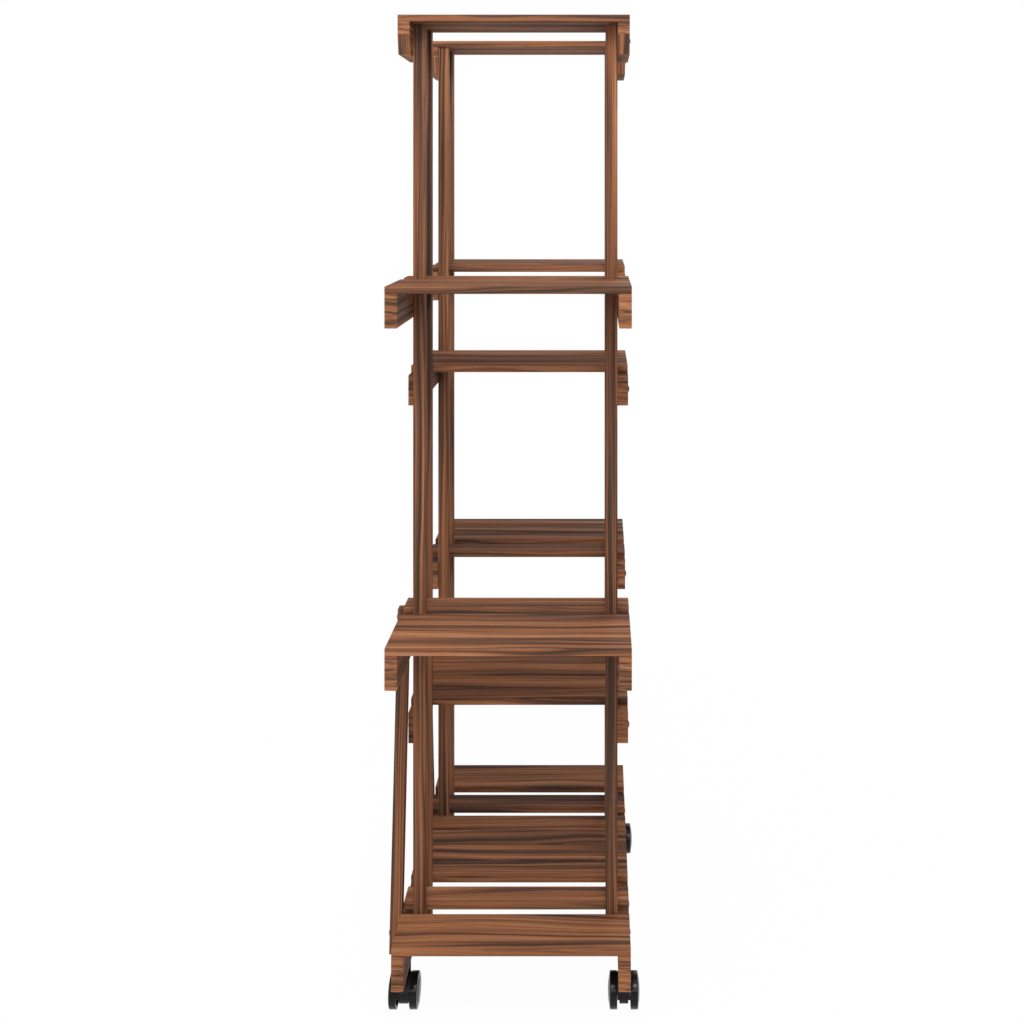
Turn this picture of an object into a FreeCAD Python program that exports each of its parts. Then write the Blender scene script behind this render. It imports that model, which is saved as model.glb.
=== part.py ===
import FreeCAD, Part
import math
import os
import Sketcher

# A slatted wooden plant stand on four twin-wheel casters. +X is the right end, -Y the braced front, +Z up,
# and the origin is on the floor under the middle of the stand. Lengths are in millimetres.

os.makedirs("parts", exist_ok=True)
doc = FreeCAD.newDocument("rolling_plant_stand")
V = FreeCAD.Vector

SIZES = [
    # Slats, and the slots between them that the posts stand in
    ("slat_length", "233"),
    ("slat_width", "30"),
    ("slat_thick", "7"),
    ("slat_gap", "1.5"),
    ("top_slat_width", "27.6"),
    ("end_board_width", "57"),
    ("post_slot", "18"),
    # Heights of the shelves' upper faces above the floor, and of the side shelves above the centre ones
    ("total_height", "1000"),
    ("upper_centre_height", "635"),
    ("upper_side_rise", "98"),
    ("lower_centre_height", "277"),
    ("lower_side_rise", "115"),
    # Posts, bearers, rails and braces
    ("post_side", "12"),
    ("bearer_thick", "12"),
    ("bearer_height", "32.5"),
    ("side_bearer_reach", "2"),
    ("centre_bearer_reach", "3"),
    ("taper_depth", "5"),
    ("taper_start", "12.5"),
    ("rail_height", "34.5"),
    ("brace_side", "12"),
    ("brace_drop", "7"),
    ("edge_ease", "0.6"),
    # Screws
    ("screw_dia", "4"),
    ("screw_head_dia", "8.5"),
    ("screw_head_rise", "1.6"),
    ("screw_tip_cover", "3"),
    ("screw_play", "0.1"),
    # Casters
    ("caster_height", "44.5"),
    ("caster_trail", "8"),
    ("stem_inset", "53.25"),
    ("stem_stud_dia", "6"),
    ("stem_stud_length", "24"),
    ("stem_collar_dia", "9.6"),
    ("stem_collar_thick", "3.7"),
    ("stem_pin_dia", "7"),
    ("stem_pin_length", "14.5"),
    ("stem_play", "0.05"),
    ("stem_end_play", "0.3"),
    ("wheel_dia", "33.2"),
    ("wheel_space", "14"),
    ("wheel_tread", "6.9"),
    ("wheel_dome", "2.1"),
    ("wheel_edge_bevel", "0.9"),
    ("wheel_hub_dia", "11"),
    ("wheel_rim_thick", "3"),
    ("wheel_recess", "4.5"),
    ("wheel_bore_depth", "7"),
    ("wheel_play", "0.4"),
    ("axle_dia", "4"),
    ("axle_play", "0.05"),
    ("axle_end_play", "0.3"),
    ("boss_dia", "10"),
    ("hood_inset", "0.8"),
    ("fin_width", "8.8"),
    ("fin_height", "4.9"),
    # Reach of a cutting tool past the face that it starts from
    ("overrun", "2"),
]

SIDE_SLATS = 3
CENTRE_SLATS = 4
TOP_SLATS = 3

PLACES = [
    ("side_span", f"{SIDE_SLATS} * sizes.slat_width + {SIDE_SLATS - 1} * sizes.slat_gap"),
    ("centre_span", f"{CENTRE_SLATS} * sizes.slat_width + {CENTRE_SLATS - 1} * sizes.slat_gap"),
    ("top_span", f"{TOP_SLATS} * sizes.top_slat_width + {TOP_SLATS - 1} * sizes.slat_gap"),
    ("half_length", "side_span + 2 * sizes.post_slot + sizes.slat_width + centre_span / 2"),
    ("outer_post_x", "half_length - side_span - sizes.post_slot / 2"),
    ("inner_post_x", "outer_post_x - sizes.slat_width - sizes.post_slot"),
    ("outer_slot_in", "outer_post_x - sizes.post_slot / 2"),
    ("inner_slot_in", "inner_post_x - sizes.post_slot / 2"),
    ("rail_half", "half_length - side_span + sizes.end_board_width"),
    ("half_depth", "sizes.slat_length / 2"),
    ("upper_side_height", "sizes.upper_centre_height + sizes.upper_side_rise"),
    ("lower_side_height", "sizes.lower_centre_height + sizes.lower_side_rise"),
    ("bearer_y", "half_depth - sizes.bearer_thick / 2"),
    ("post_y", "half_depth - sizes.bearer_thick - sizes.post_side / 2"),
    ("brace_y", "half_depth + sizes.brace_side / 2"),
    ("rail_top", "sizes.caster_height + sizes.rail_height"),
    ("rail_mid", "sizes.caster_height + sizes.rail_height / 2"),
    ("post_top", "sizes.total_height - sizes.slat_thick"),
    ("bearer_drop", "sizes.slat_thick + sizes.bearer_height / 2"),
    ("brace_top", "lower_side_height - sizes.slat_thick - sizes.brace_drop"),
    ("brace_lean", "(inner_post_x - outer_post_x) / (lower_side_height - bearer_drop - rail_mid)"),
    ("brace_span", "sizes.brace_side * sqrt(1 + brace_lean ^ 2)"),
    ("brace_foot_x", "outer_post_x + brace_lean * (sizes.caster_height - rail_mid)"),
    ("brace_head_x", "outer_post_x + brace_lean * (brace_top - rail_mid)"),
    ("screw_bite", "sizes.post_side - sizes.screw_tip_cover"),
    ("caster_x", "rail_half - sizes.stem_inset"),
    ("caster_width", "sizes.wheel_space + 2 * sizes.wheel_tread + 2 * sizes.wheel_dome"),
    ("collar_low", "sizes.caster_height - sizes.stem_collar_thick"),
    ("housing_top", "collar_low - sizes.stem_end_play"),
    ("housing_width", "sizes.wheel_space - 2 * sizes.wheel_play"),
    ("hood_radius", "sizes.wheel_dia / 2 - sizes.hood_inset"),
    ("pin_low", "collar_low - sizes.stem_pin_length"),
    # The braces' screws reach further forward than the casters reach back, so the stand moves back by half of that.
    ("front_reach", "brace_y + sizes.brace_side / 2 + sizes.screw_head_rise"),
    ("depth_shift", "(front_reach - bearer_y - caster_width / 2) / 2"),
]


def fill(sheet, rows, mark):
    """Writes one alias a row, with its content after the mark."""
    for row, (alias, content) in enumerate(rows, 1):
        sheet.set(f"A{row}", alias)
        sheet.set(f"B{row}", mark + content)
        sheet.setAlias(f"B{row}", alias)


sizes = doc.addObject("Spreadsheet::Sheet", "sizes")
fill(sizes, SIZES, "")
doc.recompute()
places = doc.addObject("Spreadsheet::Sheet", "places")
fill(places, PLACES, "=")
doc.recompute()


def value(text):
    """The number that an expression of the sheets stands for."""
    result = sizes.evalExpression(text)
    return float(getattr(result, "Value", result))


def bind(item, **expressions):
    """Ties properties to expressions: at_x, at_y and at_z are the place, the rest are property names."""
    for name, text in expressions.items():
        path = f"Placement.Base.{name[3:]}" if name.startswith("at_") else name
        item.setExpression(path, text)
    return item


# Names of the two ends and the two faces of the stand, with their signs along X and Y
ENDS = {"right": 1, "left": -1}
FACES = {"front": -1, "back": 1}

pieces = []


def keep(item, label):
    """Names a finished piece, which is then written out under that name."""
    item.Label = label
    pieces.append(item)
    return item


# Sticks of wood

def about(middle, width):
    """The two limits of a width about a middle."""
    return f"({middle}) - ({width}) / 2", f"({middle}) + ({width}) / 2"


def at_end(sign, limits):
    """Limits along X, mirrored for the left end."""
    low, high = limits
    return limits if sign > 0 else (f"-({high})", f"-({low})")


def depth_about(face, middle, width):
    """Limits along Y of a piece whose middle is so far from the stand's mid-plane."""
    return about(f"places.depth_shift + {face} * {middle}", width)


def edges_along(box, grain):
    """The numbers of a box's four edges that lie along its grain."""
    box.recompute()
    directions = [edge.tangentAt(edge.FirstParameter) for edge in box.Shape.Edges]
    return [number for number, way in enumerate(directions, 1) if round(abs(getattr(way, grain)))]


def stick(name, grain, x, y, z):
    """A straight piece with eased edges along its grain, from its limits along each axis."""
    box = doc.addObject("Part::Box", f"{name}_blank")
    bind(box, at_x=x[0], at_y=y[0], at_z=z[0])
    bind(box, Length=f"({x[1]}) - ({x[0]})", Width=f"({y[1]}) - ({y[0]})", Height=f"({z[1]}) - ({z[0]})")
    eased = doc.addObject("Part::Chamfer", f"{name}_eased")
    eased.Base = box
    ease = value("sizes.edge_ease")
    eased.Edges = [(edge, ease, ease) for edge in edges_along(box, grain)]
    return eased


def bored(name, base, holes):
    """A piece less its holes, kept under its name."""
    tools = doc.addObject("Part::Compound", f"{name}_holes")
    tools.Links = holes
    cut = doc.addObject("Part::Cut", f"{name}_bored")
    cut.Base = base
    cut.Tool = tools
    return keep(cut, name)


# Sketches and bodies


def plane_of(body, role):
    """One of a body's own origin planes."""
    return next(part for part in body.Origin.OriginFeatures if part.Role == role)


def sketch_on(body, role, name):
    """An empty sketch on one of the body's origin planes."""
    sketch = body.newObject("Sketcher::SketchObject", name)
    sketch.AttachmentSupport = [(plane_of(body, role), "")]
    sketch.MapMode = "FlatFace"
    return sketch


def pin(sketch, element, end, x=None, y=None):
    """Holds one end of a sketch element at an expression along either axis."""
    for kind, axis, text in (("DistanceX", -2, x), ("DistanceY", -1, y)):
        if text == "0":
            sketch.addConstraint(Sketcher.Constraint("PointOnObject", element, end, axis))
        elif text is not None:
            rule = Sketcher.Constraint(kind, -1, 1, element, end, value(text))
            number = sketch.addConstraint(rule)
            sketch.setExpression(f"Constraints[{number}]", text)


def chain(sketch, elements):
    """Closes a ring of (element, start, end) by joining each end to the next start."""
    for this, following in zip(elements, elements[1:] + elements[:1]):
        rule = Sketcher.Constraint("Coincident", this[0], this[2], following[0], following[1])
        sketch.addConstraint(rule)


def line(sketch, start, end):
    """A straight element between two pairs of expressions, with its first end held."""
    ends = [V(value(x), value(y), 0) for x, y in (start, end)]
    element = sketch.addGeometry(Part.LineSegment(*ends))
    pin(sketch, element, 1, *start)
    return element, 1, 2


def polygon(sketch, corners):
    """A closed outline of straight elements, each corner held by its expressions."""
    chain(sketch, [line(sketch, *pair) for pair in zip(corners, corners[1:] + corners[:1])])


def arc(sketch, centre, start, end):
    """An arc about a centre, turning left from its start to its end."""
    middle, first, last = (V(value(x), value(y), 0) for x, y in (centre, start, end))
    circle = Part.Circle(middle, V(0, 0, 1), (first - middle).Length)
    angles = [math.atan2(point.y - middle.y, point.x - middle.x) for point in (first, last)]
    return sketch.addGeometry(Part.ArcOfCircle(circle, *angles))


def padded(body, sketch, width):
    """A pad of that width, half on each side of the sketch."""
    pad = body.newObject("PartDesign::Pad", f"{sketch.Name}_pad")
    pad.Profile = sketch
    pad.SideType = "Symmetric"
    return bind(pad, Length=width)


def turned(body, sketch, axis):
    """A full turn of the sketch about one of its axes."""
    turn = body.newObject("PartDesign::Revolution", f"{sketch.Name}_turn")
    turn.Profile = sketch
    turn.ReferenceAxis = (sketch, [axis])
    turn.Angle = 360
    return turn


# Shares of a dome's radius at which its conical bands meet
DOME_SHARES = (0.4, 0.75)


def dome_band(radius, rise, share):
    """A point of a shallow dome's outline, as (radius, height)."""
    return f"{share} * ({radius})", f"(1 - {share} ^ 2) * ({rise})"


# Screws: one list gives both the screws and the holes that they need

SHELF_HEIGHTS = {
    "top": "sizes.total_height",
    "upper": "places.upper_side_height",
    "lower": "places.lower_side_height",
    "upper_centre": "sizes.upper_centre_height",
    "lower_centre": "sizes.lower_centre_height",
}
POSTS = {"outer": "places.outer_post_x", "inner": "places.inner_post_x"}
ALONG_Y = {-1: FreeCAD.Rotation(V(1, 0, 0), 90), 1: FreeCAD.Rotation(V(1, 0, 0), -90)}
HALF_TURN = FreeCAD.Rotation(V(0, 0, 1), 180)

screw_groups = {"top": [], "side": [], "centre": [], "rail": [], "brace": []}
holes_of = {}


def add_screw(group, end, face, post, height, members):
    """A screw through the members' outer faces into a post, with one hole for all that it passes."""
    seat = "places.half_depth"
    length = "sizes.bearer_thick + places.screw_bite"
    if group == "brace":
        seat += " + sizes.brace_side"
        length += " + sizes.brace_side"
    x = f"{ENDS[end]} * {POSTS[post]}"
    y = f"places.depth_shift + {FACES[face]} * ({seat})"
    screw_groups[group].append((x, y, height, FACES[face]))
    hole = doc.addObject("Part::Cylinder", f"hole_{group}_{len(screw_groups[group])}")
    hole.Placement.Rotation = ALONG_Y[-FACES[face]]
    bind(hole, Radius="sizes.screw_dia / 2 + sizes.screw_play", at_x=x, at_z=height)
    bind(hole, at_y=f"{y} + {FACES[face]} * sizes.overrun")
    bind(hole, Height=f"{length} + sizes.overrun + sizes.screw_play")
    for member in [f"post_{face}_{end}_{post}", *members]:
        holes_of.setdefault(member, []).append(hole)


for end in ENDS:
    for face in FACES:
        for post in POSTS:
            braced_foot = face == "front" and post == "outer"
            braced_head = face == "front" and post == "inner"
            members = [f"rail_{face}"] + [f"brace_{end}"] * braced_foot
            add_screw("brace" if braced_foot else "rail", end, face, post, "places.rail_mid", members)
            for shelf in ("top", "upper", "lower"):
                members = [f"bearer_{shelf}_{end}_{face}"]
                group = "top" if shelf == "top" else "side"
                if shelf == "lower" and braced_head:
                    members.append(f"brace_{end}")
                    group = "brace"
                add_screw(group, end, face, post, f"{SHELF_HEIGHTS[shelf]} - places.bearer_drop", members)
        for shelf in ("upper_centre", "lower_centre"):
            height = f"{SHELF_HEIGHTS[shelf]} - places.bearer_drop"
            add_screw("centre", end, face, "inner", height, [f"bearer_{shelf}_{face}"])


def make_screw(name, length):
    """A round-headed screw along Z, seated at zero, with its point down."""
    body = doc.addObject("PartDesign::Body", name)
    sketch = sketch_on(body, "XZ_Plane", f"{name}_profile")
    shank, head, rise = "sizes.screw_dia / 2", "sizes.screw_head_dia / 2", "sizes.screw_head_rise"
    low = f"-({length})"
    corners = [("0", low), (shank, low), (shank, "0"), (head, "0")]
    corners += [dome_band(head, rise, share) for share in reversed(DOME_SHARES)]
    polygon(sketch, [*corners, ("0", rise)])
    turned(body, sketch, "V_Axis")
    return body


bearer_screw = make_screw("bearer_screw", "sizes.bearer_thick + places.screw_bite")
brace_screw = make_screw("brace_screw", "sizes.bearer_thick + places.screw_bite + sizes.brace_side")
doc.recompute()

for group, seats in screw_groups.items():
    pattern = brace_screw if group == "brace" else bearer_screw
    copies = []
    for x, y, z, face in seats:
        copy = pattern.Shape.copy()
        copy.Placement = FreeCAD.Placement(V(value(x), value(y), value(z)), ALONG_Y[face])
        copies.append(copy)
    screws = doc.addObject("Part::Feature", f"{group}_screws")
    screws.Shape = Part.makeCompound(copies)
    keep(screws, f"screws_{group}")


# Posts and rails

for face, face_sign in FACES.items():
    post_depth = depth_about(face_sign, "places.post_y", "sizes.post_side")
    for end, end_sign in ENDS.items():
        for post, middle in POSTS.items():
            name = f"post_{face}_{end}_{post}"
            across = about(f"{end_sign} * {middle}", "sizes.post_side")
            blank = stick(name, "z", across, post_depth, ("sizes.caster_height", "places.post_top"))
            bored(name, blank, holes_of[name])

    rail = f"rail_{face}"
    for end, end_sign in ENDS.items():
        hole = doc.addObject("Part::Cylinder", f"{rail}_{end}_stem_hole")
        bind(hole, Radius="sizes.stem_stud_dia / 2 + sizes.stem_play")
        bind(hole, Height="sizes.stem_stud_length + sizes.stem_end_play + sizes.overrun")
        bind(hole, at_x=f"{end_sign} * places.caster_x", at_z="sizes.caster_height - sizes.overrun")
        bind(hole, at_y=f"places.depth_shift + {face_sign} * places.bearer_y")
        holes_of[rail].append(hole)
    along = ("-places.rail_half", "places.rail_half")
    depth = depth_about(face_sign, "places.bearer_y", "sizes.bearer_thick")
    blank = stick(rail, "x", along, depth, ("sizes.caster_height", "places.rail_top"))
    bored(rail, blank, holes_of[rail])


# Bearers: square ends under the side and centre shelves, tapered ends under the top ones


def bearer_z(shelf):
    """Limits of a bearer's height, under its shelf's slats."""
    top = f"{SHELF_HEIGHTS[shelf]} - sizes.slat_thick"
    return f"{top} - sizes.bearer_height", top


def tapered_bearer(name, x, y, z):
    """A top bearer, whose lower corners are cut back at both ends."""
    body = doc.addObject("PartDesign::Body", f"{name}_blank")
    sketch = sketch_on(body, "XZ_Plane", f"{name}_profile")
    shoulder = "sizes.bearer_height - sizes.taper_start"
    corners = [
        ("sizes.taper_depth", "0"),
        ("places.top_span - sizes.taper_depth", "0"),
        ("places.top_span", shoulder),
        ("places.top_span", "sizes.bearer_height"),
        ("0", "sizes.bearer_height"),
        ("0", shoulder),
    ]
    polygon(sketch, corners)
    padded(body, sketch, "sizes.bearer_thick")
    return bind(body, at_x=x, at_y=y, at_z=z)


for face, face_sign in FACES.items():
    depth = depth_about(face_sign, "places.bearer_y", "sizes.bearer_thick")
    middle_y = f"places.depth_shift + {face_sign} * places.bearer_y"
    for end, end_sign in ENDS.items():
        name = f"bearer_top_{end}_{face}"
        reach = ("places.inner_slot_in", "places.inner_slot_in + places.top_span")
        start = at_end(end_sign, reach)[0]
        blank = tapered_bearer(name, start, middle_y, bearer_z("top")[0])
        bored(name, blank, holes_of[name])
        for shelf in ("upper", "lower"):
            name = f"bearer_{shelf}_{end}_{face}"
            inner = "places.inner_post_x - sizes.post_side / 2 - sizes.side_bearer_reach"
            along = at_end(end_sign, (inner, "places.half_length"))
            bored(name, stick(name, "x", along, depth, bearer_z(shelf)), holes_of[name])
    for shelf in ("upper_centre", "lower_centre"):
        name = f"bearer_{shelf}_{face}"
        outer = "places.inner_post_x + sizes.post_side / 2 + sizes.centre_bearer_reach"
        along = (f"-({outer})", outer)
        bored(name, stick(name, "x", along, depth, bearer_z(shelf)), holes_of[name])


# Braces: square sticks that lean from the rail up to the lower side bearer, sawn level at both ends

for end, end_sign in ENDS.items():
    name = f"brace_{end}"
    body = doc.addObject("PartDesign::Body", f"{name}_blank")
    sketch = sketch_on(body, "XZ_Plane", f"{name}_profile")
    foot = about("places.brace_foot_x", "places.brace_span")
    head = about("places.brace_head_x", "places.brace_span")
    low, high = "sizes.caster_height", "places.brace_top"
    polygon(sketch, [(foot[0], low), (foot[1], low), (head[1], high), (head[0], high)])
    padded(body, sketch, "sizes.brace_side")
    if end_sign < 0:
        body.Placement.Rotation = HALF_TURN
    bind(body, at_y="places.depth_shift - places.brace_y")
    bored(name, body, holes_of[name])


# Slats: each shelf's slats are separate boards, kept together under one name

SLAT_PITCH = "(sizes.slat_width + sizes.slat_gap)"
TOP_PITCH = "(sizes.top_slat_width + sizes.slat_gap)"
ACROSS = about("places.depth_shift", "sizes.slat_length")


def board(start, width):
    """Limits along X of one board."""
    return start, f"{start} + {width}"


side_slats = [
    board(f"places.half_length - places.side_span + {place} * {SLAT_PITCH}", "sizes.slat_width")
    for place in range(SIDE_SLATS)
]
slot_slat = board("places.outer_slot_in - sizes.slat_width", "sizes.slat_width")
end_board = board("places.half_length - places.side_span", "sizes.end_board_width")
centre_slats = [
    board(f"-places.centre_span / 2 + {place} * {SLAT_PITCH}", "sizes.slat_width")
    for place in range(CENTRE_SLATS)
]
top_slats = [
    board(f"places.inner_slot_in + {place} * {TOP_PITCH}", "sizes.top_slat_width")
    for place in range(TOP_SLATS)
]


def shelf_boards(name, boards, top):
    """The boards of one shelf, with their upper faces at one height."""
    group = doc.addObject("Part::Compound", f"{name}_boards")
    height = (f"{top} - sizes.slat_thick", top)
    group.Links = [
        stick(f"{name}_{number}", "y", along, ACROSS, height) for number, along in enumerate(boards, 1)
    ]
    keep(group, name)


base_ends = [at_end(sign, limits) for sign in ENDS.values() for limits in (end_board, slot_slat)]
shelf_boards("slats_base", base_ends + centre_slats, "places.rail_top + sizes.slat_thick")
for shelf in ("upper_centre", "lower_centre"):
    shelf_boards(f"slats_{shelf}", centre_slats, SHELF_HEIGHTS[shelf])
for end, end_sign in ENDS.items():
    boards = [at_end(end_sign, limits) for limits in top_slats]
    shelf_boards(f"slats_top_{end}", boards, SHELF_HEIGHTS["top"])
    for shelf in ("upper", "lower"):
        boards = [at_end(end_sign, limits) for limits in [*side_slats, slot_slat]]
        shelf_boards(f"slats_{shelf}_{end}", boards, SHELF_HEIGHTS[shelf])


# Casters: a stem in the rail, a housing that swivels on it, an axle across the housing and a wheel on each side

WHEEL_RADIUS = "sizes.wheel_dia / 2"


def make_stem(name):
    """The stud in the rail, its collar under the rail and the pin that the housing turns on."""
    body = doc.addObject("PartDesign::Body", name)
    sketch = sketch_on(body, "XZ_Plane", f"{name}_profile")
    stud, collar, pivot = (f"sizes.stem_{part}_dia / 2" for part in ("stud", "collar", "pin"))
    stud_top = "sizes.caster_height + sizes.stem_stud_length"
    corners = [
        ("0", "places.pin_low"),
        (pivot, "places.pin_low"),
        (pivot, "places.collar_low"),
        (collar, "places.collar_low"),
        (collar, "sizes.caster_height"),
        (stud, "sizes.caster_height"),
        (stud, stud_top),
        ("0", stud_top),
    ]
    polygon(sketch, corners)
    turned(body, sketch, "V_Axis")
    return body


def make_housing(name):
    """A half-round hood between the wheels, a fin round the axle and a boss that turns on the stem."""
    body = doc.addObject("PartDesign::Body", name)
    sketch = sketch_on(body, "XZ_Plane", f"{name}_hood")
    hood, trail = "places.hood_radius", "sizes.caster_trail"
    axle = (trail, WHEEL_RADIUS)
    front = (f"{trail} - {hood}", WHEEL_RADIUS)
    tail = (f"{trail} + {hood}", WHEEL_RADIUS)
    foot = line(sketch, front, tail)
    crown = arc(sketch, axle, tail, front)
    pin(sketch, crown, 1, *tail)
    pin(sketch, crown, 3, y=WHEEL_RADIUS)
    chain(sketch, [foot, (crown, 1, 2)])
    padded(body, sketch, "places.housing_width")

    round_fin = sketch_on(body, "XZ_Plane", f"{name}_fin")
    radius = f"{WHEEL_RADIUS} - sizes.fin_height"
    centre = V(value(trail), value(WHEEL_RADIUS), 0)
    circle = round_fin.addGeometry(Part.Circle(centre, V(0, 0, 1), value(radius)))
    pin(round_fin, circle, 3, *axle)
    number = round_fin.addConstraint(Sketcher.Constraint("Radius", circle, value(radius)))
    round_fin.setExpression(f"Constraints[{number}]", radius)
    padded(body, round_fin, "sizes.fin_width")

    boss = body.newObject("PartDesign::AdditiveCylinder", f"{name}_boss")
    bind(boss, Radius="sizes.boss_dia / 2", at_z=WHEEL_RADIUS, Height=f"places.housing_top - {WHEEL_RADIUS}")
    pivot = body.newObject("PartDesign::SubtractiveCylinder", f"{name}_stem_bore")
    bind(pivot, Radius="sizes.stem_pin_dia / 2 + sizes.stem_play")
    bind(pivot, at_z="places.pin_low - sizes.stem_end_play")
    bind(pivot, Height="places.housing_top - places.pin_low + sizes.stem_end_play + sizes.overrun")
    seat = body.newObject("PartDesign::SubtractiveCylinder", f"{name}_axle_bore")
    seat.Placement.Rotation = ALONG_Y[1]
    bind(seat, Radius="sizes.axle_dia / 2", Height="places.housing_width + 2 * sizes.overrun")
    bind(seat, at_x=trail, at_y="-places.housing_width / 2 - sizes.overrun", at_z=WHEEL_RADIUS)
    return body


def make_wheel(name):
    """A moulded wheel about Y: a domed outer face, a bevelled tread and a ring-shaped recess on the inner face."""
    body = doc.addObject("PartDesign::Body", name)
    sketch = sketch_on(body, "YZ_Plane", f"{name}_profile")
    bore = "sizes.axle_dia / 2 + sizes.axle_play"
    hub, recess, depth = "sizes.wheel_hub_dia / 2", "sizes.wheel_recess", "sizes.wheel_bore_depth"
    rim = f"{WHEEL_RADIUS} - sizes.wheel_rim_thick"
    tread, bevel = "sizes.wheel_tread", "sizes.wheel_edge_bevel"
    bands = [dome_band(WHEEL_RADIUS, "sizes.wheel_dome", share) for share in DOME_SHARES]
    corners = [
        (f"{tread} + sizes.wheel_dome", "0"),
        (depth, "0"),
        (depth, bore),
        ("0", bore),
        ("0", hub),
        (recess, hub),
        (recess, rim),
        ("0", rim),
        ("0", f"{WHEEL_RADIUS} - {bevel}"),
        (bevel, WHEEL_RADIUS),
        (f"{tread} - {bevel}", WHEEL_RADIUS),
        (tread, f"{WHEEL_RADIUS} - {bevel}"),
    ]
    corners += [(f"{tread} + {height}", radius) for radius, height in reversed(bands)]
    polygon(sketch, corners)
    turned(body, sketch, "H_Axis")
    return body


stems = []
for face, face_sign in FACES.items():
    for end, end_sign in ENDS.items():
        corner = f"{face}_{end}"
        stem_x = f"{end_sign} * places.caster_x"
        stem_y = f"places.depth_shift + {face_sign} * places.bearer_y"
        stems.append(bind(make_stem(f"stem_{corner}"), at_x=stem_x, at_y=stem_y))
        housing = make_housing(f"housing_{corner}")
        if end_sign < 0:
            housing.Placement.Rotation = HALF_TURN
        keep(bind(housing, at_x=stem_x, at_y=stem_y), f"caster_housing_{corner}")

        axle_x = f"{end_sign} * (places.caster_x + sizes.caster_trail)"
        half_axle = "(sizes.wheel_space / 2 + sizes.wheel_bore_depth - sizes.axle_end_play)"
        axle = doc.addObject("Part::Cylinder", f"axle_{corner}")
        axle.Placement.Rotation = ALONG_Y[1]
        bind(axle, Radius="sizes.axle_dia / 2", Height=f"2 * {half_axle}")
        bind(axle, at_x=axle_x, at_y=f"{stem_y} - {half_axle}", at_z=WHEEL_RADIUS)
        keep(axle, f"caster_axle_{corner}")

        for side, outward in (("outer", face_sign), ("inner", -face_sign)):
            wheel = make_wheel(f"wheel_body_{corner}_{side}")
            if outward < 0:
                wheel.Placement.Rotation = HALF_TURN
            bind(wheel, at_x=axle_x, at_z=WHEEL_RADIUS)
            bind(wheel, at_y=f"{stem_y} + {outward} * sizes.wheel_space / 2")
            keep(wheel, f"wheel_{corner}_{side}")

stem_group = doc.addObject("Part::Compound", "stem_group")
stem_group.Links = stems
keep(stem_group, "caster_stems")

doc.recompute()

# Every object has to be sound before anything is written.
for item in doc.Objects:
    if {"Invalid", "Error"} & set(item.State):
        raise RuntimeError(f"{item.Label} failed: {item.State}")
for piece in pieces:
    if piece.Shape.isNull() or not piece.Shape.isValid():
        raise RuntimeError(f"{piece.Label} has no sound shape")

for piece in pieces:
    piece.Shape.exportStep(f"parts/{piece.Label}.step")
print(f"{len(pieces)} pieces written")
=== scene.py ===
import math
import random

import bmesh
import bpy
from mathutils import Matrix, Vector


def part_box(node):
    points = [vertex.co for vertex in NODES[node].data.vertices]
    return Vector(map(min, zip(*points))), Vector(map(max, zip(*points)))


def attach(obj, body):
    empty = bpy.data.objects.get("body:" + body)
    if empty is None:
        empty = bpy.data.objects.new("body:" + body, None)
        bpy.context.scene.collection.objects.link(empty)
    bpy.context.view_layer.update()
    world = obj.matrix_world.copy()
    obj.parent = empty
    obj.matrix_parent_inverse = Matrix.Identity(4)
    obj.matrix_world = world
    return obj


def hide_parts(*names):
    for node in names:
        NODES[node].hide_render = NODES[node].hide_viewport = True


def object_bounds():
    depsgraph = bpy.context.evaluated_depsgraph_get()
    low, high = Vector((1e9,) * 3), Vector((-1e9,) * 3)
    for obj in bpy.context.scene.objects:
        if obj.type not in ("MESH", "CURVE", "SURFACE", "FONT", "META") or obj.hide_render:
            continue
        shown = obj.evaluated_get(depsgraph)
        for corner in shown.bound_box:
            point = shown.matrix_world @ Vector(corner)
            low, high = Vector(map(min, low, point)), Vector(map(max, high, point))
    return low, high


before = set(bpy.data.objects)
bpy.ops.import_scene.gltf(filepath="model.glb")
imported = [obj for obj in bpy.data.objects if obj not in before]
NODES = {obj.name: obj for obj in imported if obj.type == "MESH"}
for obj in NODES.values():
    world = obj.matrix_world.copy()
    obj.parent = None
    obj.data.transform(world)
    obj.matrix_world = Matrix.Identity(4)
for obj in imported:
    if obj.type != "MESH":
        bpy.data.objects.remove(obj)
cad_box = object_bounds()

# A slatted wooden plant stand on twin-wheel casters. Lengths are in metres, in the frame of the packed
# model: +X is the near end in the photograph, -Y the braced front, +Z up.

MM = 0.001

# Colours, linear
DARK_STREAK = (0.058, 0.034, 0.024)
BROWN_STREAK = (0.122, 0.055, 0.033)
WOOD_MID = (0.205, 0.082, 0.040)
WOOD_LIGHT = (0.275, 0.110, 0.049)
WOOD_PALE = (0.362, 0.164, 0.080)
WHEEL_BLACK = (0.007, 0.007, 0.0075)
HOUSING_BLACK = (0.010, 0.009, 0.0095)
ZINC = (0.50, 0.50, 0.51)
SCREW_BRONZE = (0.115, 0.080, 0.058)
FLOOR_PALE = (0.86, 0.86, 0.86)
WHITE = (1.0, 1.0, 1.0)


# Node trees

# Sockets of the Mix node that carry a factor and two colours, and its colour output
MIX_SOCKETS = ("0", "6", "7")
MIX_RESULT = 2
EDGE_SAMPLES = 6


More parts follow.
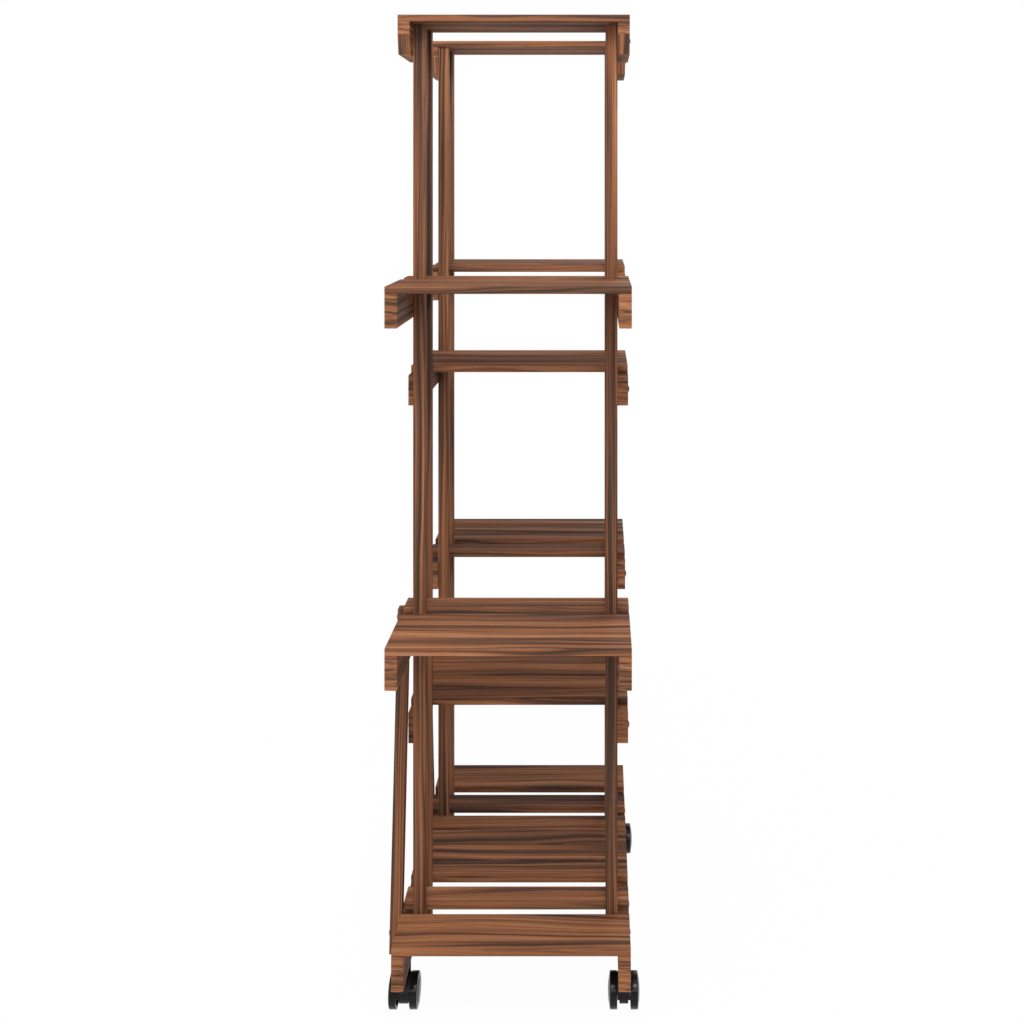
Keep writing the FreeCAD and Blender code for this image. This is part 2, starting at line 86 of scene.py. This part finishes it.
class Tree:
    """Adds nodes to a tree, with inputs given as values or as other nodes' outputs."""

    def __init__(self, tree):
        self.tree = tree

    def add(self, kind, settings=None, **inputs):
        node = self.tree.nodes.new(kind)
        for name, setting in (settings or {}).items():
            setattr(node, name, setting)
        for name, content in inputs.items():
            self.put(node, name, content)
        return node

    def put(self, node, socket, content):
        target = node.inputs[int(socket) if socket.isdigit() else socket]
        if isinstance(content, bpy.types.NodeSocket):
            self.tree.links.new(content, target)
        else:
            target.default_value = content

    def place(self):
        return self.add("ShaderNodeTexCoord").outputs["Object"]

    def rounded(self, radius):
        """The surface's normal, rounded over at the edges."""
        return self.add("ShaderNodeBevel", {"samples": EDGE_SAMPLES}, Radius=radius).outputs["Normal"]

    def math(self, operation, *terms):
        node = self.add("ShaderNodeMath", {"operation": operation})
        for place, term in enumerate(terms):
            self.put(node, str(place), term)
        return node.outputs[0]

    def vector(self, x, y, z):
        return self.add("ShaderNodeCombineXYZ", X=x, Y=y, Z=z).outputs[0]

    def vector_math(self, operation, *terms):
        node = self.add("ShaderNodeVectorMath", {"operation": operation})
        for place, term in enumerate(terms):
            self.put(node, str(place), term)
        return node.outputs

    def dot(self, vector, direction):
        return self.vector_math("DOT_PRODUCT", vector, direction)["Value"]

    def noise(self, vector, scale, detail=2.0, roughness=0.5):
        node = self.add("ShaderNodeTexNoise", Vector=vector, Scale=scale, Detail=detail, Roughness=roughness)
        return node.outputs["Fac"]

    def spread(self, fac, low, high, to_low=0.0, to_high=1.0, kind="LINEAR"):
        """Takes a value from one range to another."""
        node = self.add("ShaderNodeMapRange", {"interpolation_type": kind}, Value=fac)
        limits = {"From Min": low, "From Max": high, "To Min": to_low, "To Max": to_high}
        for socket, content in limits.items():
            self.put(node, socket, content)
        return node.outputs["Result"]

    def ramp(self, fac, stops, interpolation="LINEAR"):
        node = self.add("ShaderNodeValToRGB", Fac=fac)
        band = node.color_ramp
        band.interpolation = interpolation
        while len(band.elements) < len(stops):
            band.elements.new(1.0)
        for element, (place, colour) in zip(band.elements, stops):
            element.position = place
            element.color = (*colour, 1.0)
        return node.outputs["Color"]

    def mix(self, fac, first, second):
        """Blends two colours."""
        node = self.add("ShaderNodeMix", {"data_type": "RGBA"})
        for socket, content in zip(MIX_SOCKETS, (fac, first, second)):
            self.put(node, socket, (*content, 1.0) if isinstance(content, tuple) else content)
        return node.outputs[MIX_RESULT]

    def mix_shaders(self, fac, first, second):
        node = self.add("ShaderNodeMixShader")
        for place, content in enumerate((fac, first, second)):
            self.put(node, str(place), content)
        return node.outputs[0]


def new_material(name):
    """A material with its tree helper and its surface shader."""
    material = bpy.data.materials.new(name)
    material.use_nodes = True
    tree = Tree(material.node_tree)
    return material, tree, material.node_tree.nodes["Principled BSDF"]


def dress(piece, material):
    """Gives a piece one material all over."""
    piece.data.materials.clear()
    piece.data.materials.append(material)


# Wood: dark wavy streaks along the grain, fine fibres, short pores and paler sawn ends

GRAIN_WAYS = ("Along", "Across", "Through")

# How far the boards lie apart in the log, in metres along, across and through it
LOG_SPREAD = (9.1, 5.3, 2.7)

# The streaks wander: how far, and in how many cells to the metre
STREAK_WAVE = 18.0 * MM
WAVES_ALONG = 4.0
WAVES_ACROSS = 20.0
WAVE_ROUGHNESS = 0.45

# Layers of streaks from broad to fine: cells to the metre across and along, detail, share of the tone
STREAK_LAYERS = [
    (66.0, 1.3, 1.0, 0.30),
    (185.0, 2.2, 2.0, 0.37),
    (520.0, 4.5, 2.0, 0.33),
]

# Cells through a board, as a share of those across it
THROUGH_SHARE = 0.08

# Each board has a shade of its own, and its sawn ends are paler; the same end tone also paints shade on
# raked ends, which face down.
OWN_SHUFFLE = 37.7
OWN_TONE = 0.03
END_TONE = 0.02

# The tone at which each colour is reached
TONE_COLOURS = [
    (0.415, DARK_STREAK),
    (0.460, BROWN_STREAK),
    (0.500, WOOD_MID),
    (0.545, WOOD_LIGHT),
    (0.620, WOOD_PALE),
]

# Pores are short, dark, rough and a little sunk. Streaks are rougher the darker they are.
PORES_ACROSS = 1500.0
PORES_ALONG = 70.0
PORE_RANGE = (0.60, 0.72)
PORE_DARKER = 0.30
PORE_ROUGHER = 0.12
PORE_SUNK = 0.8
FIBRE_RAISED = 0.5
ROUGHNESS_TONES = (0.40, 0.60)
WOOD_ROUGHNESS = (0.66, 0.54)


def make_wood_group():
    """The streaked wood, from distances along, across and through a board and the board's own number."""
    group = bpy.data.node_groups.new("streaked_wood", "ShaderNodeTree")
    for name in (*GRAIN_WAYS, "Board", "End"):
        group.interface.new_socket(name, in_out="INPUT", socket_type="NodeSocketFloat")
    for name, kind in (("Color", "Color"), ("Roughness", "Float"), ("Height", "Float")):
        group.interface.new_socket(name, in_out="OUTPUT", socket_type=f"NodeSocket{kind}")
    tree = Tree(group)
    given = tree.add("NodeGroupInput").outputs
    board = given["Board"]
    # Each board is sawn from another part of the log.
    spots = [tree.math("MULTIPLY_ADD", board, far, given[way]) for far, way in zip(LOG_SPREAD, GRAIN_WAYS)]
    along, across, through = spots

    def layer(spot, cells_across, cells_along, cells_through, detail, roughness=0.5):
        """Noise with so many cells to the metre across, along and through the board."""
        place = tree.vector(
            tree.math("MULTIPLY", along, cells_along),
            tree.math("MULTIPLY", spot, cells_across),
            tree.math("MULTIPLY", through, cells_through),
        )
        return tree.noise(place, 1.0, detail, roughness)

    wave = layer(across, WAVES_ACROSS, WAVES_ALONG, WAVES_ALONG, detail=2.0, roughness=WAVE_ROUGHNESS)
    bent = tree.math("MULTIPLY_ADD", tree.math("SUBTRACT", wave, 0.5), STREAK_WAVE, across)
    tone = 0.0
    for cells_across, cells_along, detail, share in STREAK_LAYERS:
        streaks = layer(bent, cells_across, cells_along, THROUGH_SHARE * cells_across, detail)
        tone = tree.math("MULTIPLY_ADD", streaks, share, tone)
    own = tree.math("FRACT", tree.math("MULTIPLY", board, OWN_SHUFFLE))
    tone = tree.math("MULTIPLY_ADD", tree.math("SUBTRACT", own, 0.5), OWN_TONE, tone)
    tone = tree.math("MULTIPLY_ADD", given["End"], END_TONE, tone)

    pores = layer(bent, PORES_ACROSS, PORES_ALONG, PORES_ACROSS, detail=1.0)
    pores = tree.spread(pores, *PORE_RANGE)
    colour = tree.ramp(tone, TONE_COLOURS)
    colour = tree.mix(tree.math("MULTIPLY", pores, PORE_DARKER), colour, DARK_STREAK)
    roughness = tree.spread(tone, *ROUGHNESS_TONES, *WOOD_ROUGHNESS)
    roughness = tree.math("MULTIPLY_ADD", pores, PORE_ROUGHER, roughness)
    # The finest streaks are the fibres, and the pores are sunk between them.
    height = tree.math("MULTIPLY_ADD", pores, -PORE_SUNK, tree.math("MULTIPLY", streaks, FIBRE_RAISED))
    tree.add("NodeGroupOutput", Color=colour, Roughness=roughness, Height=height)
    return group


WOOD = make_wood_group()
WOOD_GLOSS = 0.05
WOOD_BUMP = 0.20
FIBRE_DEPTH = 0.10 * MM
EDGE_RADIUS = 0.6 * MM
WORN_RANGE = (0.99, 0.80)
WORN_PALER = 0.15
END_COSINE = 0.8
RAKED_COSINE = 0.5
RAKED_FALL = 0.1
# How much painted shade darkens a raked end, which faces down
RAKED_PAINTED_SHADE = 2.0
UP = (0, 0, 1)


def wood_material(name, grain, across, fineness, board, raked=False):
    """Wood whose grain runs along one direction; board is a number or a function that makes it a socket."""
    material, tree, shader = new_material(name)
    place = tree.place()
    grain, across = Vector(grain).normalized(), Vector(across)
    across = (across - across.dot(grain) * grain).normalized()
    through = grain.cross(across)
    surface = tree.add("ShaderNodeNewGeometry").outputs["Normal"]
    facing = tree.math("ABSOLUTE", tree.dot(surface, grain))
    end = tree.math("GREATER_THAN", facing, END_COSINE)
    spots = [tree.dot(place, way) for way in (grain, fineness * across, fineness * through)]
    if raked:
        # The streaks of a raked end run down it, and it is painted darker than a square one: painted shade,
        # as the raked end faces down.
        cut = tree.math("GREATER_THAN", facing, RAKED_COSINE)
        cut = tree.math("MULTIPLY", cut, tree.math("LESS_THAN", tree.dot(surface, UP), -RAKED_FALL))
        turned = [tree.dot(place, way) for way in (UP, (0, fineness, 0), (fineness, 0, 0))]
        spots = [tree.spread(cut, 0.0, 1.0, before, after) for before, after in zip(spots, turned)]
        end = tree.math("MULTIPLY_ADD", cut, -RAKED_PAINTED_SHADE, end)
    wood = tree.add("ShaderNodeGroup", {"node_tree": WOOD}, End=end)
    for way, spot in zip(GRAIN_WAYS, spots):
        tree.put(wood, way, spot)
    tree.put(wood, "Board", board(tree, place) if callable(board) else board)

    # Handling rubs the corners a little paler.
    rounded = tree.rounded(EDGE_RADIUS)
    worn = tree.spread(tree.dot(rounded, surface), *WORN_RANGE)
    colour = tree.mix(tree.math("MULTIPLY", worn, WORN_PALER), wood.outputs["Color"], WOOD_LIGHT)
    bump = tree.add("ShaderNodeBump", Strength=WOOD_BUMP, Distance=FIBRE_DEPTH, Normal=rounded)
    tree.put(bump, "Height", wood.outputs["Height"])
    tree.put(shader, "Base Color", colour)
    tree.put(shader, "Roughness", wood.outputs["Roughness"])
    tree.put(shader, "Normal", bump.outputs["Normal"])
    shader.inputs["Specular IOR Level"].default_value = WOOD_GLOSS
    return material


WELD_DISTANCE = 0.01 * MM


def solids_of(node):
    """The box of each separate solid in a CAD node, as (low, high) corners."""
    shape = bmesh.new()
    shape.from_mesh(NODES[node].data)
    bmesh.ops.remove_doubles(shape, verts=shape.verts, dist=WELD_DISTANCE)
    boxes, seen = [], set()
    for start in shape.verts:
        if start in seen:
            continue
        seen.add(start)
        solid, waiting = [], [start]
        while waiting:
            vertex = waiting.pop()
            solid.append(vertex.co.copy())
            for edge in vertex.link_edges:
                other = edge.other_vert(vertex)
                if other not in seen:
                    seen.add(other)
                    waiting.append(other)
        boxes.append([Vector(limit(axis) for axis in zip(*solid)) for limit in (min, max)])
    shape.free()
    return sorted(boxes, key=lambda box: tuple(box[0]))


# Directions that the streaks are layered in, so that they show on every side of a stick
POST_LAYERS = (0.8, 0.6, 0.0)
BEARER_LAYERS = (0.0, 0.04, 1.0)
SLAT_LAYERS = (1.0, 0.0, 0.75)

# How much finer than a slat's the streaks are
POST_FINENESS = 3.0
BEARER_FINENESS = 1.3
SLAT_FINENESS = 1.0

# The log that each kind of stick is sawn from
LOGS = {"slats": 12, "post": 2, "bearer": 3, "rail": 13, "brace": 11}


def board_number(name, place=0):
    """A board's own number from 0 to 1, always the same for the same log."""
    log = LOGS[name.split("_")[0]]
    return random.Random(f"{name} {place} {log}").random()


def dress_sticks():
    """Posts, rails, bearers and braces: one board each."""
    for name, node in sorted(NODES.items()):
        if name.startswith("post_"):
            grain, layers, fineness = UP, POST_LAYERS, POST_FINENESS
        elif name.startswith(("rail_", "bearer_")):
            grain, layers, fineness = (1, 0, 0), BEARER_LAYERS, BEARER_FINENESS
        elif name.startswith("brace_"):
            low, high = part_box(name)
            size = high - low
            lean = (size.x - size.y) / size.z
            grain = (-lean if name.endswith("right") else lean, 0, 1)
            layers, fineness = POST_LAYERS, POST_FINENESS
        else:
            continue
        raked = name.startswith("bearer_top_")
        dress(node, wood_material(f"wood_{name}", grain, layers, fineness, board_number(name), raked))


def dress_slats():
    """Slats: each shelf's boards differ, told apart by where they lie along X."""
    for name, node in sorted(NODES.items()):
        if not name.startswith("slats_"):
            continue
        boards = solids_of(name)
        start, end = boards[0][0].x, boards[-1][1].x
        limits = [start] + [(this[1].x + after[0].x) / 2 for this, after in zip(boards, boards[1:])]
        numbers = [board_number(name, place) for place in range(len(boards))]
        stops = [((limit - start) / (end - start), (number,) * 3) for limit, number in zip(limits, numbers)]

        def board(tree, place, start=start, end=end, stops=stops):
            x = tree.dot(place, (1, 0, 0))
            return tree.ramp(tree.spread(x, start, end), stops, "CONSTANT")

        dress(node, wood_material(f"wood_{name}", (0, 1, 0), SLAT_LAYERS, SLAT_FINENESS, board))


dress_sticks()
dress_slats()


# Plastics and metals

# Uneven gloss: the range of the noise, and the share of the roughness at its two ends
NOISE_RANGE = (0.3, 0.7)
PLASTIC_GLOSS = (0.8, 1.25)
METAL_GLOSS = (0.8, 1.3)
CLOUDS_PER_METRE = 60.0

# Scuffs and mould marks on the plastics
SCUFFS_PER_METRE = 260.0
SCUFF_RANGE = (0.60, 0.72)
SCUFF_SHARE = 0.25
SCUFF_PALER = 3.0
MOULD_RELIEF = 0.05 * MM
MOULD_EDGE = 0.5 * MM

# Stains and drawn lines on the metals
STAINS_PER_METRE = 180.0
STAIN_RANGE = (0.35, 0.65)
STAIN_DULLER = 0.6
DRAWN_BUMP = 0.15
DRAWN_RELIEF = 0.02 * MM


def plastic_material(name, colour, roughness, gloss, grain_size, bump):
    """Black moulded plastic with a fine texture and uneven gloss."""
    material, tree, shader = new_material(name)
    place = tree.place()
    cloudy = tree.noise(place, CLOUDS_PER_METRE, detail=4.0, roughness=0.6)
    fine = tree.noise(place, 1.0 / grain_size)
    scuffs = tree.spread(tree.noise(place, SCUFFS_PER_METRE, detail=3.0, roughness=0.7), *SCUFF_RANGE)
    scuffed = tuple(SCUFF_PALER * part for part in colour)
    tree.put(shader, "Base Color", tree.mix(tree.math("MULTIPLY", scuffs, SCUFF_SHARE), colour, scuffed))
    dull = [share * roughness for share in PLASTIC_GLOSS]
    tree.put(shader, "Roughness", tree.spread(cloudy, *NOISE_RANGE, *dull))
    relief = tree.add("ShaderNodeBump", Strength=bump, Distance=MOULD_RELIEF, Height=fine)
    tree.put(relief, "Normal", tree.rounded(MOULD_EDGE))
    tree.put(shader, "Normal", relief.outputs["Normal"])
    shader.inputs["Specular IOR Level"].default_value = gloss
    return material


def metal_material(name, colour, roughness, cells):
    """Plated steel with fine drawn lines, so many to the metre along X, Y and Z."""
    material, tree, shader = new_material(name)
    place = tree.place()
    lines = tree.noise(tree.vector_math("MULTIPLY", place, cells)["Vector"], 1.0, detail=3.0, roughness=0.6)
    stains = tree.noise(place, STAINS_PER_METRE, detail=3.0, roughness=0.6)
    stained = tuple(STAIN_DULLER * part for part in colour)
    tree.put(shader, "Base Color", tree.mix(tree.spread(stains, *STAIN_RANGE), stained, colour))
    dull = [share * roughness for share in METAL_GLOSS]
    tree.put(shader, "Roughness", tree.spread(lines, *NOISE_RANGE, *dull))
    shader.inputs["Metallic"].default_value = 1.0
    relief = tree.add("ShaderNodeBump", Strength=DRAWN_BUMP, Distance=DRAWN_RELIEF, Height=lines)
    tree.put(shader, "Normal", relief.outputs["Normal"])
    return material


wheel_plastic = plastic_material(
    "wheel_plastic", WHEEL_BLACK, roughness=0.20, gloss=0.17, grain_size=0.5 * MM, bump=0.06
)
housing_plastic = plastic_material(
    "housing_plastic", HOUSING_BLACK, roughness=0.46, gloss=0.18, grain_size=0.4 * MM, bump=0.30
)
zinc_steel = metal_material("zinc_steel", ZINC, roughness=0.32, cells=(900.0, 300.0, 900.0))
screw_steel = metal_material("screw_steel", SCREW_BRONZE, roughness=0.36, cells=(700.0, 700.0, 700.0))

for name, node in NODES.items():
    if name.startswith("caster_housing_"):
        dress(node, housing_plastic)
    elif name.startswith(("caster_axle_", "caster_stems")):
        dress(node, zinc_steel)


# Meshes made here


def lathe(profile, turns):
    """A closed mesh of revolution about Z from (radius, height) points that start and end on the axis."""
    shape = bmesh.new()
    rings = []
    for radius, height in profile:
        if radius == 0.0:
            rings.append([shape.verts.new((0.0, 0.0, height))])
            continue
        steps = (2 * math.pi * step / turns for step in range(turns))
        rings.append([shape.verts.new((radius * math.cos(a), radius * math.sin(a), height)) for a in steps])
    for lower, upper in zip(rings, rings[1:]):
        for step in range(turns):
            following = (step + 1) % turns
            corners = [lower[step % len(lower)], lower[following % len(lower)]]
            corners += [upper[following % len(upper)], upper[step % len(upper)]]
            shape.faces.new(list(dict.fromkeys(corners)))
    bmesh.ops.recalc_face_normals(shape, faces=shape.faces)
    return shape


def as_piece(shape, name, smooth_angle=35.0):
    """Links a bmesh as an object, smooth but for its sharp edges."""
    mesh = bpy.data.meshes.new(name)
    shape.to_mesh(mesh)
    shape.free()
    mesh.shade_smooth()
    mesh.set_sharp_from_angle(angle=math.radians(smooth_angle))
    piece = bpy.data.objects.new(name, mesh)
    bpy.context.scene.collection.objects.link(piece)
    return piece


def arc_points(centre, radius, start, end, count):
    """Points of an arc in a profile, from one angle in degrees to another."""
    angles = (math.radians(start + (end - start) * step / count) for step in range(count + 1))
    return [(centre[0] + radius * math.cos(a), centre[1] + radius * math.sin(a)) for a in angles]


def dome_height(rise, radius, top):
    """How high a dome that rises so far over a disc stands at a distance from its axis, as a function."""
    sphere = (radius**2 + rise**2) / (2 * rise)
    return lambda at: top - sphere + math.sqrt(sphere**2 - at**2)


# Wheels: the outer face is a shallow dome with a moulded ring, the inner face has a lip and a recess

WHEEL_TURNS = 96
WHEEL_TREAD = 6.9 * MM
TREAD_ROUND = 0.9 * MM
TREAD_ARC = (80, 0)
TREAD_STEPS = 5
INNER_ROUND = 0.2 * MM
INNER_ARC = (0, -90)
INNER_STEPS = 3
LIP_WIDTH = 1.5 * MM
LIP_RISE = 0.25 * MM
RIM_THICK = 3.0 * MM
HUB_RADIUS = 5.5 * MM
BORE_RADIUS = 2.05 * MM
BORE_DEPTH = 7.0 * MM
RECESS_DEPTH = 4.5 * MM
RING_RADIUS = 11.0 * MM
RING_WIDTH = 0.9 * MM
RING_DEPTH = 0.45 * MM
RING_FLOOR_SHARE = 0.6
MIDDLE_STEPS = 10
BORDER_STEPS = 4


def wheel_profile(radius, width):
    """Half the wheel's section: radius from the axle, height from the inner face outwards."""
    face = dome_height(width - WHEEL_TREAD, radius, width)
    inside, outside = RING_RADIUS - RING_WIDTH, RING_RADIUS + RING_WIDTH
    ring_floor = face(RING_RADIUS) - RING_DEPTH
    corner = radius - TREAD_ROUND
    middle = [inside * step / MIDDLE_STEPS for step in range(1, MIDDLE_STEPS + 1)]
    border = [outside + (corner - outside) * step / BORDER_STEPS for step in range(BORDER_STEPS + 1)]
    points = [(0.0, width)]
    points += [(at, face(at)) for at in middle]
    points += [
        (RING_RADIUS - RING_FLOOR_SHARE * RING_WIDTH, ring_floor),
        (RING_RADIUS + RING_FLOOR_SHARE * RING_WIDTH, ring_floor),
    ]
    points += [(at, face(at)) for at in border]
    points += arc_points((corner, face(corner) - TREAD_ROUND), TREAD_ROUND, *TREAD_ARC, TREAD_STEPS)
    # A low lip round the inner face runs close to the housing.
    lip = (radius - INNER_ROUND, INNER_ROUND - LIP_RISE)
    points += arc_points(lip, INNER_ROUND, *INNER_ARC, INNER_STEPS)
    points += [
        (radius - LIP_WIDTH, -LIP_RISE),
        (radius - LIP_WIDTH, 0.0),
        (radius - RIM_THICK, 0.0),
        (radius - RIM_THICK, RECESS_DEPTH),
        (HUB_RADIUS, RECESS_DEPTH),
        (HUB_RADIUS, 0.0),
        (BORE_RADIUS, 0.0),
        (BORE_RADIUS, BORE_DEPTH),
        (0.0, BORE_DEPTH),
    ]
    return points


def add_wheels():
    """A moulded wheel in the place of each wheel's solid, with its dome away from the housing."""
    for name in [name for name in NODES if name.startswith("wheel_")]:
        low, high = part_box(name)
        housing = name.replace("wheel_", "caster_housing_").rsplit("_", 1)[0]
        mid_y = sum(corner.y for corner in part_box(housing)) / 2
        outward = 1.0 if low.y > mid_y else -1.0
        inner_face = low.y if outward > 0 else high.y
        shape = lathe(wheel_profile((high.z - low.z) / 2, high.y - low.y), WHEEL_TURNS)
        axis = Matrix.Rotation(math.radians(-90.0 * outward), 4, "X")
        middle = (low + high) / 2
        shape.transform(Matrix.Translation((middle.x, inner_face, middle.z)) @ axis)
        wheel = as_piece(shape, f"{name}_moulded")
        dress(wheel, wheel_plastic)
        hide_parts(name)
        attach(wheel, name)


add_wheels()


# Screws: domed heads with a cross-shaped drive recess

HEAD_RISE = 1.6 * MM
HEAD_RINGS = 6
HEAD_TURNS = 32
HEAD_SMOOTH_ANGLE = 30.0
CROSS_REACH = 2.3 * MM
CROSS_WIDTH = 1.0 * MM
CROSS_DEPTH = 1.1 * MM
CROSS_TAPER = 0.55
SCREW_SEED = 11


def make_cross():
    """The drive's two crossed slots, each shorter at its floor."""
    cross = bmesh.new()
    for long_axis in (0, 1):
        for vertex in bmesh.ops.create_cube(cross, size=2.0)["verts"]:
            floor = vertex.co.z < 0
            half = [CROSS_WIDTH / 2, CROSS_WIDTH / 2]
            half[long_axis] = CROSS_REACH * CROSS_TAPER if floor else CROSS_REACH
            height = HEAD_RISE - CROSS_DEPTH if floor else 2 * HEAD_RISE
            vertex.co = (vertex.co.x * half[0], vertex.co.y * half[1], height)
    return as_piece(cross, "screw_cross")


def make_head(radius):
    """A domed head about Z with its seat at zero, less the cross."""
    dome = dome_height(HEAD_RISE, radius, HEAD_RISE)
    spots = [radius * step / HEAD_RINGS for step in range(HEAD_RINGS + 1)]
    profile = [(at, dome(at)) for at in spots] + [(0.0, 0.0)]
    head = as_piece(lathe(profile, HEAD_TURNS), "screw_head")
    cross = make_cross()
    cut = head.modifiers.new("cross", "BOOLEAN")
    cut.operation = "DIFFERENCE"
    cut.object = cross
    cut.solver = "EXACT"
    cut.use_self = True
    bpy.context.view_layer.update()
    mesh = bpy.data.meshes.new_from_object(head.evaluated_get(bpy.context.evaluated_depsgraph_get()))
    for scrap in (head, cross):
        bpy.data.objects.remove(scrap)
    return mesh


def add_screws():
    """Heads in the place of each group of screws, each turned at random as screws are left."""
    groups = [name for name in NODES if name.startswith("screws_")]
    low, high = solids_of(groups[0])[0]
    head_mesh = make_head((high.x - low.x) / 2)
    draw = random.Random(SCREW_SEED)
    for name in groups:
        shape = bmesh.new()
        for low, high in solids_of(name):
            front = (low.y + high.y) / 2 < 0
            seat = low.y + HEAD_RISE if front else high.y - HEAD_RISE
            spin = Matrix.Rotation(draw.uniform(0.0, math.pi / 2), 4, "Z")
            axis = Matrix.Rotation(math.radians(90.0 if front else -90.0), 4, "X")
            place = Matrix.Translation(((low.x + high.x) / 2, seat, (low.z + high.z) / 2))
            copy = head_mesh.copy()
            copy.transform(place @ axis @ spin)
            shape.from_mesh(copy)
            bpy.data.meshes.remove(copy)
        heads = as_piece(shape, f"{name}_heads", HEAD_SMOOTH_ANGLE)
        dress(heads, screw_steel)
        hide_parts(name)
        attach(heads, "frame")


add_screws()


# Stage, light and camera

FLOOR_HALF = 6.0
FLOOR_WHITE_NEAR = 0.97
FLOOR_FADE = (0.5, 1.4)
WORLD_LEVEL = 0.46


def make_floor():
    """A pale floor that keeps a soft shadow near the stand and is white further out."""
    shape = bmesh.new()
    bmesh.ops.create_grid(shape, x_segments=1, y_segments=1, size=FLOOR_HALF)
    floor = as_piece(shape, "floor")
    material = bpy.data.materials.new("floor")
    material.use_nodes = True
    material.node_tree.nodes.clear()
    tree = Tree(material.node_tree)
    light = tree.add("ShaderNodeLightPath").outputs
    seen = tree.math("MAXIMUM", light["Is Camera Ray"], light["Is Glossy Ray"])
    seen = tree.math("MAXIMUM", seen, light["Is Transmission Ray"])
    geometry = tree.add("ShaderNodeNewGeometry").outputs
    away = tree.vector_math("LENGTH", geometry["Position"])["Value"]
    fade = tree.spread(away, *FLOOR_FADE, FLOOR_WHITE_NEAR, 1.0, "SMOOTHSTEP")
    matt = tree.add("ShaderNodeBsdfDiffuse", Color=(*FLOOR_PALE, 1.0)).outputs[0]
    white = tree.add("ShaderNodeEmission", Color=(*WHITE, 1.0), Strength=1.0).outputs[0]
    clear = tree.add("ShaderNodeBsdfTransparent").outputs[0]
    above = tree.mix_shaders(tree.math("MULTIPLY", seen, fade), matt, white)
    one_sided = tree.mix_shaders(geometry["Backfacing"], above, clear)
    tree.add("ShaderNodeOutputMaterial", Surface=one_sided)
    dress(floor, material)


def make_world():
    """Even soft light from all round, seen as white by the camera."""
    world = bpy.data.worlds.new("studio")
    bpy.context.scene.world = world
    world.use_nodes = True
    world.node_tree.nodes.clear()
    tree = Tree(world.node_tree)
    light = tree.add("ShaderNodeLightPath").outputs
    seen = tree.math("MAXIMUM", light["Is Camera Ray"], light["Is Transmission Ray"])
    strength = tree.spread(seen, 0.0, 1.0, WORLD_LEVEL, 1.0)
    sky = tree.add("ShaderNodeBackground", Color=(*WHITE, 1.0), Strength=strength)
    tree.add("ShaderNodeOutputWorld", Surface=sky.outputs[0])


# Soft lamps that face the middle of the stand: place, width and height, power
MIDDLE = (0.0, 0.0, 0.5)
LAMPS = {
    "key": ((1.6, 0.1, 2.2), (0.7, 0.7), 27.0),
    "front": ((2.4, -0.2, 1.5), (1.8, 1.2), 20.0),
    "top": ((0.6, -0.1, 2.5), (1.2, 1.2), 9.0),
    "side": ((0.3, -2.5, 1.3), (1.6, 1.6), 22.0),
    "back": ((-2.2, 1.0, 1.3), (1.6, 1.6), 20.0),
}


def add_lamps():
    """The lamps, each turned to the middle."""
    for name, (place, size, power) in LAMPS.items():
        lamp = bpy.data.lights.new(name, "AREA")
        lamp.shape = "RECTANGLE"
        lamp.size, lamp.size_y = size
        lamp.energy = power
        holder = bpy.data.objects.new(name, lamp)
        holder.location = place
        holder.rotation_euler = (Vector(MIDDLE) - Vector(place)).to_track_quat("-Z", "Y").to_euler()
        bpy.context.scene.collection.objects.link(holder)


# The photograph is a level view along -X from near the back edge. Its horizon is above the middle of the
# picture, so the camera is shifted.
CAMERA_AHEAD = 1.117
CAMERA_ASIDE = 85.1 * MM
CAMERA_HEIGHT = 0.824
LENS = 41.72
SENSOR_WIDTH = 36.0
SHIFT = (-0.0845, -0.3145)


def add_camera():
    """The photograph's camera, placed from the stand's near end and the base slats' middle."""
    slats_low, slats_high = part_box("slats_base")
    mid_y = (slats_low.y + slats_high.y) / 2
    camera = bpy.data.objects.new("camera", bpy.data.cameras.new("camera"))
    camera.data.lens = LENS
    camera.data.sensor_width = SENSOR_WIDTH
    camera.data.shift_x, camera.data.shift_y = SHIFT
    camera.location = (cad_box[1].x + CAMERA_AHEAD, mid_y + CAMERA_ASIDE, CAMERA_HEIGHT)
    camera.rotation_euler = (math.radians(90.0), 0.0, math.radians(90.0))
    bpy.context.scene.collection.objects.link(camera)
    bpy.context.scene.camera = camera


make_floor()
make_world()
add_lamps()
add_camera()
bpy.context.scene.view_settings.view_transform = "Standard"
